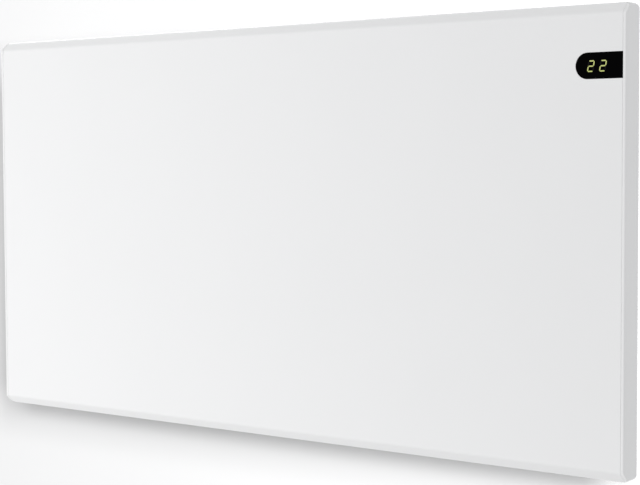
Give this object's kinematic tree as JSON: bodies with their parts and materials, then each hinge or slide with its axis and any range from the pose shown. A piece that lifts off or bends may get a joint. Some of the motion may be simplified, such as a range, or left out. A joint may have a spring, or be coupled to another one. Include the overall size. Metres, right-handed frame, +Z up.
{
  "type": "wall panel convector heater",
  "caption": "Flat white electric wall heater with bevelled long edges, a small black display window at its right end and a tilting wall bracket.",
  "frame": {"origin": "centre of the four wall-screw slots, on the wall plane, which is also the middle of the panel in X and Z", "axes": "+X to the right as seen from the room, +Y into the wall, +Z up"},
  "size_m": [0.7, 0.084, 0.37],
  "materials": {
    "white_enamel": "smooth satin white enamel",
    "case_enamel": "satin white enamel",
    "end_cap_plastic": "satin white moulded plastic",
    "zinc_screws": "bright zinc plate",
    "window_black": "glossy black",
    "digit_glow": "glowing pale yellow-green",
    "digit_dark": "unlit dark plastic",
    "dark_plastic": "matt dark moulding",
    "circuit_board": "green solder mask",
    "button_plastic": "satin pale grey",
    "bare_aluminium": "mill finish",
    "galvanised_sheet": "galvanised",
    "tube_steel": "heat-tinted stainless",
    "ceramic": "unglazed ceramic",
    "phenolic": "dark brown phenolic",
    "brass_parts": "plain brass",
    "nylon": "natural nylon",
    "relay_plastic": "blue moulded plastic",
    "transformer_tape": "yellow tape over the core",
    "capacitor_plastic": "yellow potted box",
    "lead_insulation": "silicone insulation",
    "gland_plastic": "satin pale grey nylon",
    "soft_rubber": "black rubber",
    "switch_plastic": "satin pale grey",
    "rocker_plastic": "black",
    "bracket_steel": "galvanised sheet",
    "pin_steel": "plated steel",
    "lock_plastic": "grey filled nylon"
  },
  "bodies": {
    "bracket": {"bracket_upright_left": "bracket_steel", "bracket_upright_right": "bracket_steel", "bracket_top_rail": "bracket_steel", "bracket_bottom_rail": "bracket_steel", "rubber_buffers": "soft_rubber"},
    "lock_left": {"lock_left": "lock_plastic", "lock_clip_left": "pin_steel"},
    "lock_right": {"lock_right": "lock_plastic", "lock_clip_right": "pin_steel"},
    "button_minus": {"button_minus": "button_plastic"},
    "button_plus": {"button_plus": "button_plastic"},
    "button_set": {"button_set": "button_plastic"},
    "rocker": {"power_rocker": "rocker_plastic"},
    "heater": {"blade_terminals": "brass_parts", "board_connectors": "nylon", "board_spacers": "nylon", "cable_gland": "gland_plastic", "capacitor": "capacitor_plastic", "case_rivets": "bare_aluminium", "control_board": "circuit_board", "control_housing": "dark_plastic", "control_partition": "galvanised_sheet", "cover_screws": "zinc_screws", "cutout_screws": "zinc_screws", "display_module": "dark_plastic", "display_segments_dark": "digit_dark", "display_segments_lit": "digit_glow", "display_window": "window_black", "earth_nut": "brass_parts", "earth_stud": "brass_parts", "earth_tag": "brass_parts", "element_bushes": "ceramic", "element_studs": "tube_steel", "element_support_left": "galvanised_sheet", "element_support_right": "galvanised_sheet", "flange_screws": "zinc_screws", "front_cover": "white_enamel", "gland_cap": "gland_plastic", "gland_nut": "gland_plastic", "heat_shield": "bare_aluminium", "heater_fins": "bare_aluminium", "heating_tube": "tube_steel", "hinge_ear_left": "galvanised_sheet", "hinge_ear_right": "galvanised_sheet", "hinge_pins": "pin_steel", "internal_leads": "lead_insulation", "left_end_cap": "end_cap_plastic", "power_board": "circuit_board", "power_switch_frame": "switch_plastic", "push_switches": "dark_plastic", "rear_case": "case_enamel", "relay": "relay_plastic", "ribbon_lead": "lead_insulation", "right_end_cap": "end_cap_plastic", "room_sensor": "digit_dark", "sensor_holder": "soft_rubber", "terminal_block": "nylon", "terminal_screws": "zinc_screws", "thermal_cutout": "phenolic", "transformer": "transformer_tape"}
  },
  "joints": [
    {"name": "heater_tilt", "type": "hinge", "parent": "bracket", "child": "heater", "pos_m": [0, -0.01, -0.146], "axis": [1, 0, 0], "range_deg": [0, 15]},
    {"name": "lock_left_turn", "type": "hinge", "parent": "bracket", "child": "lock_left", "pos_m": [-0.15, -0.011, 0.15], "axis": [0, 0, 1], "range_deg": [0, 90]},
    {"name": "lock_right_turn", "type": "hinge", "parent": "bracket", "child": "lock_right", "pos_m": [0.15, -0.011, 0.15], "axis": [0, 0, 1], "range_deg": [-90, 0]},
    {"name": "power_switch_rock", "type": "hinge", "parent": "heater", "child": "rocker", "pos_m": [0.328, -0.042, -0.1], "axis": [0, 1, 0], "range_deg": [0, 20]},
    {"name": "button_minus_press", "type": "slide", "parent": "heater", "child": "button_minus", "axis": [0, 0, -1], "range_m": [0, 0.0008], "stiffness_N_per_m": 1500},
    {"name": "button_plus_press", "type": "slide", "parent": "heater", "child": "button_plus", "axis": [0, 0, -1], "range_m": [0, 0.0008], "stiffness_N_per_m": 1500},
    {"name": "button_set_press", "type": "slide", "parent": "heater", "child": "button_set", "axis": [0, 0, -1], "range_m": [0, 0.0008], "stiffness_N_per_m": 1500}
  ]
}
